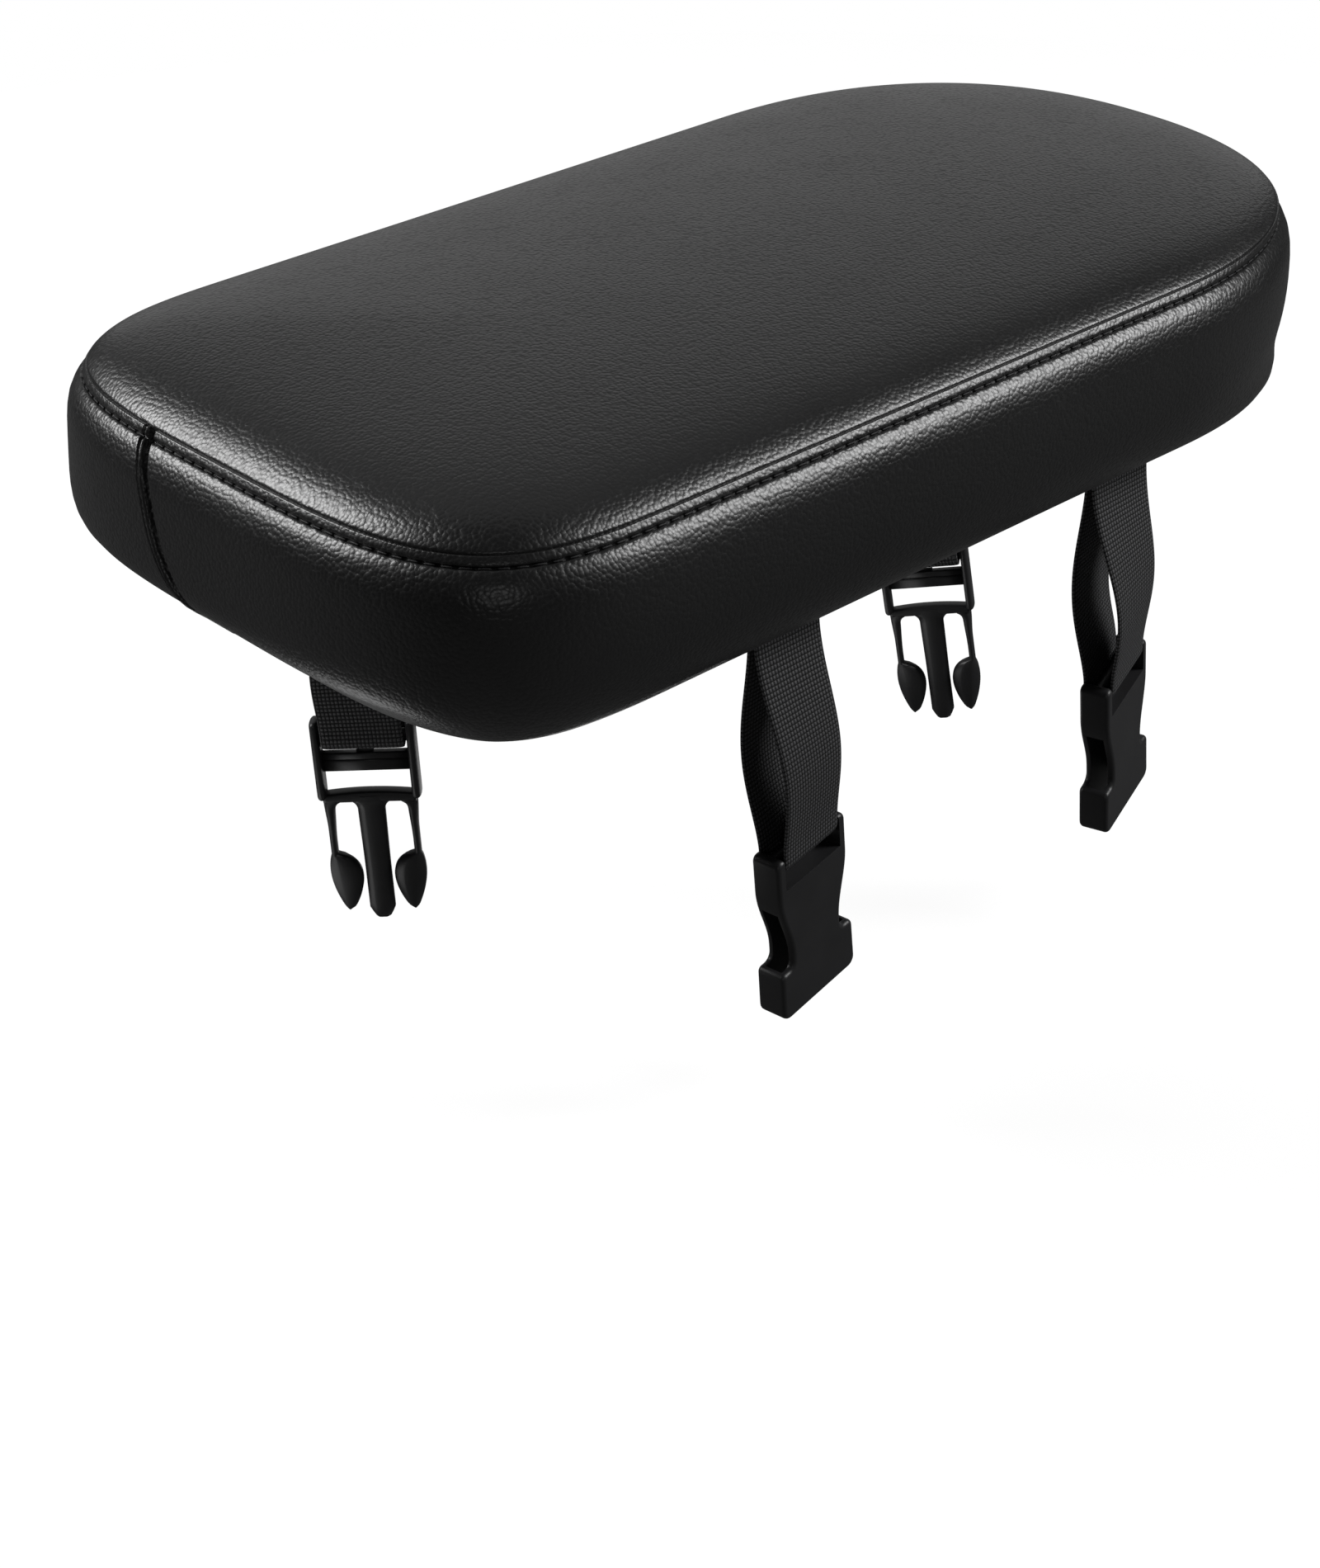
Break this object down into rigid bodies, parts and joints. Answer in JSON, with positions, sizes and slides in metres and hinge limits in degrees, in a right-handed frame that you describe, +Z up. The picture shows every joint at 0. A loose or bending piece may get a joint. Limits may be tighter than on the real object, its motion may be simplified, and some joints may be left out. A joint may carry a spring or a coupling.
{
  "type": "bicycle rack cushion",
  "caption": "Padded passenger cushion for a bicycle rear rack: stitched cover on foam and a board, with webbing loops that hang side-release buckle halves.",
  "frame": {"origin": "centre of the cushion's underside, on its resting face", "axes": "+X along the length towards the round end, +Y across, +Z up out of the padded top; the straps hang below the origin"},
  "size_m": [0.311, 0.169, 0.1843],
  "materials": {
    "leather": "fine pebble grain, satin",
    "foam": "open-cell foam, matt",
    "board": "matt",
    "cloth": "matt non-woven cloth",
    "webbing": "basket weave, matt",
    "buckle_plastic": "satin moulded plastic",
    "rivet_metal": "satin"
  },
  "bodies": {
    "cushion": {"top_panel": "leather", "side_band": "leather", "foam_pad": "foam", "base_board": "board", "underside_cover": "cloth", "webbing_female_1": "webbing", "webbing_female_2": "webbing", "webbing_male_1": "webbing", "webbing_male_2": "webbing", "strap_rivet_female_1_1": "rivet_metal", "strap_rivet_female_1_2": "rivet_metal", "strap_rivet_female_2_1": "rivet_metal", "strap_rivet_female_2_2": "rivet_metal", "strap_rivet_male_1_1": "rivet_metal", "strap_rivet_male_1_2": "rivet_metal", "strap_rivet_male_2_1": "rivet_metal", "strap_rivet_male_2_2": "rivet_metal"},
    "female_buckle_1": {"female_buckle_1": "buckle_plastic"},
    "female_buckle_2": {"female_buckle_2": "buckle_plastic"},
    "male_buckle_1": {"male_buckle_1": "buckle_plastic"},
    "male_buckle_2": {"male_buckle_2": "buckle_plastic"}
  },
  "joints": [
    {"name": "female_1_swing", "type": "hinge", "parent": "cushion", "child": "female_buckle_1", "pos_m": [-0.04506, -0.0651, -0.061], "axis": [0.9857, 0.1385, 0.0958], "range_deg": [-60, 60]},
    {"name": "female_2_swing", "type": "hinge", "parent": "cushion", "child": "female_buckle_2", "pos_m": [0.06911, -0.06353, -0.061], "axis": [0.938, 0.3048, 0.165], "range_deg": [-60, 60]},
    {"name": "male_1_swing", "type": "hinge", "parent": "cushion", "child": "male_buckle_1", "pos_m": [-0.09612, 0.03222, -0.053], "axis": [0.7189, -0.6942, 0.0349], "range_deg": [-60, 60]},
    {"name": "male_2_swing", "type": "hinge", "parent": "cushion", "child": "male_buckle_2", "pos_m": [0.10146, 0.03185, -0.076], "axis": [0.6089, -0.7794, 0.1478], "range_deg": [-60, 60]}
  ]
}
